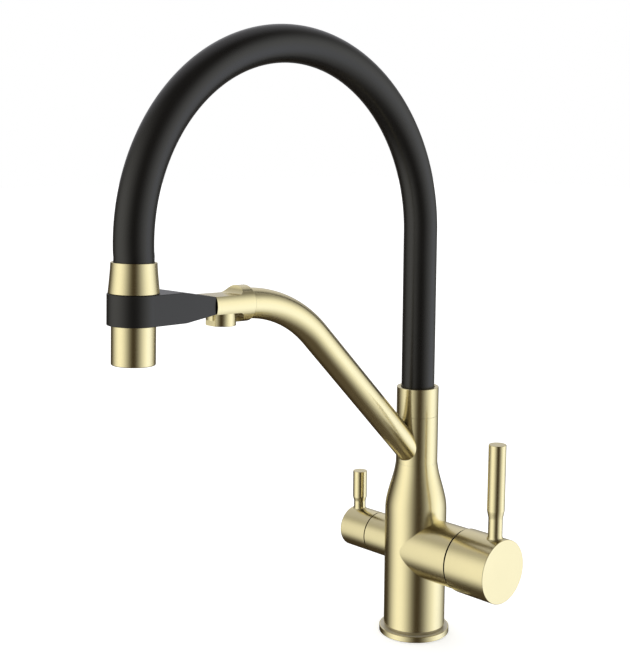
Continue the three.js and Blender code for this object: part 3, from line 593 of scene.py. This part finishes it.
def flat_cut(h, side, step=77.0, radius=5.0):
    """Cutter for a flat that ends in a hollow curve at the step; side is 1 above and -1 below."""
    line = [(48.0, h)]
    for i in range(13):
        t = math.pi / 2 * i / 12
        line.append((step - radius + radius * math.sin(t), h + side * radius * (1 - math.cos(t))))
    line += [(step, side * 20.0), (48.0, side * 20.0)]
    return lambda b: add_prism(b, line, "X", -20, 20, TO_DOCK)


cut(hub, flat_cut(4.05, 1))
cut(hub, flat_cut(-6.9, -1))
cut(hub, lambda b: add_turned(b, [(0, -20), (9.77, -20), (9.77, -6.9), (0, -6.9)], 96, TO_DOCK @ Matrix.Translation((0, 65.5 * MM, 0))))
cut(hub, lambda b: add_box(b, (-5, 40, -4.5), (5, 55, 2), TO_DOCK), "UNION")
resharpen(hub, 30)
put(hub, "spout", GOLD_Y, "brushed_gold", "arm_hub")

bm = bmesh.new()
add_turned(bm, fillet([(6.5, -6.93), (9.42, -6.93, 0.15), (9.42, -15.1, 0.35), (7.3, -15.1, 0.2), (7.3, -9), (6.5, -9)]), 128,
           TO_DOCK @ Matrix.Translation((0, 65.5 * MM, 0)))
nozzle = mesh_object("nozzle_skin", bm)
cut(nozzle, lambda b: add_box(b, (-12, 73.82, -16), (12, 80, -11.6), TO_DOCK))
cut(nozzle, lambda b: add_box(b, (-12, 50, -16), (12, 57.18, -11.6), TO_DOCK))
resharpen(nozzle, 30)
put(nozzle, "spout", GOLD_UP, "brushed_gold", "filter_nozzle")

# --------------------------------------------------------------------------- black dock
bm = bmesh.new()
tip_w, tip_y = 10.3, 53.2
arc = [(14.4 * math.cos(t), 14.4 * math.sin(t)) for t in np.linspace(math.pi, 0, 33)]
outline = [(15.7, 0.0), (tip_w, tip_y), (-tip_w, tip_y), (-15.7, 0.0)] + arc
add_prism(bm, outline, "Z", -10, 8.4)


def slice_off(b, co, normal):
    geom = b.verts[:] + b.edges[:] + b.faces[:]
    res = bmesh.ops.bisect_plane(b, geom=geom, plane_co=[c * MM for c in co], plane_no=normal, clear_outer=True, dist=1e-7)
    edges = [g for g in res["geom_cut"] if isinstance(g, bmesh.types.BMEdge)]
    bmesh.ops.holes_fill(b, edges=edges)


slope_top = Vector((0, 8.4 - 4.05, tip_y - 26.5)).normalized()
slope_low = Vector((0, 10 - 6.85, -(tip_y - 29.5))).normalized()
slice_off(bm, (0, 26.5, 8.4), slope_top)
slice_off(bm, (0, 29.5, -10), slope_low)
bmesh.ops.recalc_face_normals(bm, faces=bm.faces)
edge_list = []
for e in bm.edges:
    if len(e.link_faces) != 2:
        continue
    a, b_ = (v.co / MM for v in e.verts)
    if min(math.hypot(a.x, a.y), math.hypot(b_.x, b_.y)) < 15.0 and a.y < 14.5 and b_.y < 14.5:
        continue
    if e.calc_face_angle(0) > math.radians(40):
        edge_list.append(e)
bmesh.ops.bevel(bm, geom=edge_list, offset=0.45 * MM, segments=4, profile=0.5, affect="EDGES", clamp_overlap=True)
bmesh.ops.transform(bm, matrix=TO_DOCK, verts=bm.verts)
add_turned(bm, fillet([(13.5, -10, 0.3), (15.75, -10, 0.35), (15.75, 8.4, 0.35), (14.5, 8.4, 0.2), (13.5, 7.4, 0.2)], 6), 160, TO_DOCK)
dock = mesh_object("dock_skin", bm, 28)
cut(dock, lambda b: add_turned(b, [(0, -20), (3.1, -20), (3.1, -5.9), (0, -5.9)], 40, TO_DOCK @ Matrix.Translation((0, 46 * MM, 0))))
cut(dock, lambda b: add_box(b, (-5.3, 39.4, -4.8), (5.3, 60, 2.3), TO_DOCK))
resharpen(dock, 28)
put(dock, "spout", BLACK, "matte_black", "dock_holder")

# --------------------------------------------------------------------------- spray head
CONE = [(9.2, 15.1), (10, 15.0), (13, 14.7), (16, 14.4), (18.9, 14.13), (22, 13.87), (25.9, 13.64)]
shell = [(11.3, -33.35), (11.7, -33.6, 0.2), (13.15, -33.6, 1.7), (13.15, 8.62, 0.1), (15.12, 8.62, 0.25)]
shell = fillet(shell + [(15.05, 9.6), (12.3, 26.6), (12.3, 16.3), (10, 16.3), (10, 2), (11.3, 2)])
k = next(i for i, p in enumerate(shell) if abs(p[0] - 15.05) < 1e-6 and abs(p[1] - 9.6) < 1e-6)
shell = shell[:k] + monotone([(z, r) for z, r in CONE if z > 9.5], 1.0) + [(13.6, 26.5), (13.52, 26.6)] + shell[k + 1:]
bm = bmesh.new()
add_turned(bm, shell, 160, TO_DOCK)
put(mesh_object("head_skin", bm, 30), "spray_head", GOLD_UP, "brushed_gold", "spray_head_shell")

# spray face: rubber plate with rings of soft nozzles round a middle outlet
bm = bmesh.new()
add_turned(bm, fillet([(0, -31.2), (2.3, -31.2), (2.5, -32.9, 0.3), (10.9, -32.9, 0.4), (10.9, -30.3), (0, -30.3)]), 96, TO_DOCK)
for radius, count in ((4.6, 10), (7.0, 16), (9.2, 20)):
    for i in range(count):
        t = 2 * math.pi * i / count
        m = TO_DOCK @ Matrix.Translation((radius * math.cos(t) * MM, radius * math.sin(t) * MM, 0))
        add_turned(bm, [(0, -32.5), (0.62, -32.5), (0.5, -33.3), (0.25, -33.3), (0.25, -32.7), (0, -32.7)], 12, m)
put(mesh_object("spray_face_skin", bm, 30), "spray_head", RUBBER, "black_rubber", "spray_face_plate")

# --------------------------------------------------------------------------- hose arch
SPAN, SPRING, ARCH_H, BOW = 247.97, 301.5, 123.47, 1.97
pts, tans = [], []


def on_arch(a):
    return (Vector((-BOW * math.sin(a), -SPAN / 2 * (1 - math.cos(a)), SPRING + ARCH_H * math.sin(a))),
            Vector((-BOW * math.cos(a), -SPAN / 2 * math.sin(a), ARCH_H * math.cos(a))).normalized())


for z in np.linspace(170.6, SPRING, 26):
    pts.append(Vector((0, 0, float(z))))
for k in range(1, 121):
    pts.append(on_arch(math.pi * k / 120)[0])
down = Vector((0, -math.sin(LEAN), -math.cos(LEAN)))
for h in np.linspace(30, 16.7, 6):
    pts.append(Vector((0, DOCK_Y + h * math.sin(LEAN), DOCK_Z + h * math.cos(LEAN))))
for i in range(len(pts)):
    a, b_ = pts[max(0, i - 1)], pts[min(len(pts) - 1, i + 1)]
    tans.append((b_ - a).normalized())
tans[0], tans[-1] = Vector((0, 0, 1)), down
bm = bmesh.new()
add_swept(bm, pts, tans, (1, 0, 0), 11.94, 64, 8.6)
hose = mesh_object("hose_skin", bm)
hose.data.materials.append(HOSE)
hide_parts("hose_sleeve")
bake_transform(hose)

bm = bmesh.new()
add_swept(bm, pts, tans, (1, 0, 0), 8.3, 32, 6.0)
core = mesh_object("hose_core_skin", bm)
core.data.materials.append(RUBBER)
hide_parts("hose_inner")
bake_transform(core)

# --------------------------------------------------------------------------- studio
def emission_dome():
    """A large soft light tent that only reflections see: two broad side boxes, a paler back, dark front and floor."""
    b = bmesh.new()
    bmesh.ops.create_uvsphere(b, u_segments=64, v_segments=32, radius=6.0)
    for f in b.faces:
        f.smooth = True
    me = bpy.data.meshes.new("light_tent")
    b.to_mesh(me)
    b.free()
    o = link(bpy.data.objects.new("light_tent", me))
    o.location = (0, -0.12, 0.2)
    o.rotation_euler = (0, 0, FRONT)
    o.visible_camera = o.visible_diffuse = o.visible_shadow = o.visible_transmission = False
    m = bpy.data.materials.new("light_tent")
    m.use_nodes = True
    nt = m.node_tree
    nt.nodes.clear()
    out = nt.nodes.new("ShaderNodeOutputMaterial")
    em = nt.nodes.new("ShaderNodeEmission")
    nt.links.new(em.outputs[0], out.inputs[0])
    tc = nt.nodes.new("ShaderNodeTexCoord")
    nrm = nt.nodes.new("ShaderNodeVectorMath")
    nrm.operation = "NORMALIZE"
    nt.links.new(tc.outputs["Object"], nrm.inputs[0])

    sep = nt.nodes.new("ShaderNodeSeparateXYZ")
    nt.links.new(nrm.outputs[0], sep.inputs[0])

    def maths(kind, a, b_=None):
        n = nt.nodes.new("ShaderNodeMath")
        n.operation = kind
        for i, v in enumerate((a, b_)):
            if v is None:
                continue
            if isinstance(v, (int, float)):
                n.inputs[i].default_value = v
            else:
                nt.links.new(v, n.inputs[i])
        return n.outputs[0]

    azimuth = maths("DEGREES", maths("ARCTAN2", sep.outputs["Y"], sep.outputs["X"]))
    elevation = maths("DEGREES", maths("ARCSINE", sep.outputs["Z"]))

    def fade(value, inner, outer):
        r = nt.nodes.new("ShaderNodeMapRange")
        r.interpolation_type = "SMOOTHSTEP"
        r.inputs["From Min"].default_value, r.inputs["From Max"].default_value = outer, inner
        nt.links.new(value, r.inputs["Value"])
        return r.outputs[0]

    def scaled(colour, factor):
        s = nt.nodes.new("ShaderNodeVectorMath")
        s.operation = "SCALE"
        s.inputs[0].default_value = colour
        nt.links.new(factor, s.inputs["Scale"])
        return s.outputs[0]

    def soft_box(az, sides, el, above, below, colour):
        """Upright soft box: full inside the first angle of each pair, nothing outside the second."""
        rise = maths("SUBTRACT", elevation, el)
        across = fade(maths("ABSOLUTE", maths("SUBTRACT", azimuth, az)), *sides)
        along = maths("MULTIPLY", fade(rise, *above), fade(maths("MULTIPLY", rise, -1.0), *below))
        return scaled(colour, maths("MULTIPLY", across, along))

    def pool(az, el, inner, outer, colour):
        """Round pool of light: full inside one angle from its middle, nothing outside another."""
        t, e = math.radians(az), math.radians(el)
        dot = nt.nodes.new("ShaderNodeVectorMath")
        dot.operation = "DOT_PRODUCT"
        nt.links.new(nrm.outputs[0], dot.inputs[0])
        dot.inputs[1].default_value = (math.cos(t) * math.cos(e), math.sin(t) * math.cos(e), math.sin(e))
        return scaled(colour, fade(dot.outputs["Value"], math.cos(math.radians(inner)), math.cos(math.radians(outer))))

    total = None
    for v in [soft_box(*args) for args in SOFT_BOXES] + [pool(*args) for args in POOLS]:
        if total is None:
            total = v
        else:
            add = nt.nodes.new("ShaderNodeVectorMath")
            add.operation = "ADD"
            nt.links.new(total, add.inputs[0])
            nt.links.new(v, add.inputs[1])
            total = add.outputs[0]
    base = nt.nodes.new("ShaderNodeVectorMath")
    base.operation = "ADD"
    nt.links.new(total, base.inputs[0])
    base.inputs[1].default_value = AMBIENT
    nt.links.new(base.outputs[0], em.inputs["Color"])
    me.materials.append(m)
    return o


CAM = Vector((0.5914, -0.66336, 0.37388))
yaw, pitch, roll = math.radians(46.563), math.radians(9.353), math.radians(0.184)
fwd = Vector((-math.sin(yaw) * math.cos(pitch), math.cos(yaw) * math.cos(pitch), -math.sin(pitch)))
right = Vector((math.cos(yaw), math.sin(yaw), 0))
up = right.cross(fwd)
FRONT = math.atan2(-fwd.y, -fwd.x)
# angles in degrees round the tap: azimuth 0 is the camera's side, minus is to its left
SOFT_BOXES = [
    (-65.2, (2.8, 69.6), 1, (9.4, 71), (25, 62), (1.09, 1.105, 1.06)),
    (85.3, (2, 74.9), -14.4, (20, 72), (1, 73), (1.12, 1.16, 1.17)),
]
POOLS = [
    (183, 9.9, 24.6, 39, (0.16, 0.165, 0.18)),
    (191.5, 45.7, 22.6, 57, (0.48, 0.49, 0.53)),
    (0, -90, 12, 45, (0.05, 0.046, 0.04)),
    (96, -17, 8, 28, (0.04, 0.07, 0.19)),
]
AMBIENT = (0.046, 0.034, 0.020)
emission_dome()

world = bpy.data.worlds.new("world")
scene.world = world
world.use_nodes = True
world.node_tree.nodes["Background"].inputs[0].default_value = (1, 1, 1, 1)
world.node_tree.nodes["Background"].inputs[1].default_value = 1.0

bm = bmesh.new()
bmesh.ops.create_grid(bm, x_segments=1, y_segments=1, size=6.0)
me = bpy.data.meshes.new("floor")
bm.to_mesh(me)
bm.free()
floor = link(bpy.data.objects.new("floor", me))
floor.location = (0, 0, -0.0002)
floor.visible_glossy = False
m, nt, b = fresh("floor")
b.inputs["Base Color"].default_value = (0.93, 0.93, 0.93, 1)
b.inputs["Roughness"].default_value = 1.0
b.inputs["Specular IOR Level"].default_value = 0.0
b.inputs["Emission Color"].default_value = (1, 1, 1, 1)
b.inputs["Emission Strength"].default_value = 0.36
me.materials.append(m)

camera = bpy.data.cameras.new("camera")
cam = link(bpy.data.objects.new("camera", camera))
r2 = right * math.cos(roll) + up * math.sin(roll)
u2 = -right * math.sin(roll) + up * math.cos(roll)
cam.matrix_world = Matrix(((r2.x, u2.x, -fwd.x, CAM.x), (r2.y, u2.y, -fwd.y, CAM.y), (r2.z, u2.z, -fwd.z, CAM.z), (0, 0, 0, 1)))
camera.sensor_width = 36
camera.lens = 67.67
camera.clip_start, camera.clip_end = 0.01, 100
scene.camera = cam
scene.view_settings.view_transform = "Standard"
scene.view_settings.look = "None"
scene.cycles.glossy_bounces = 1
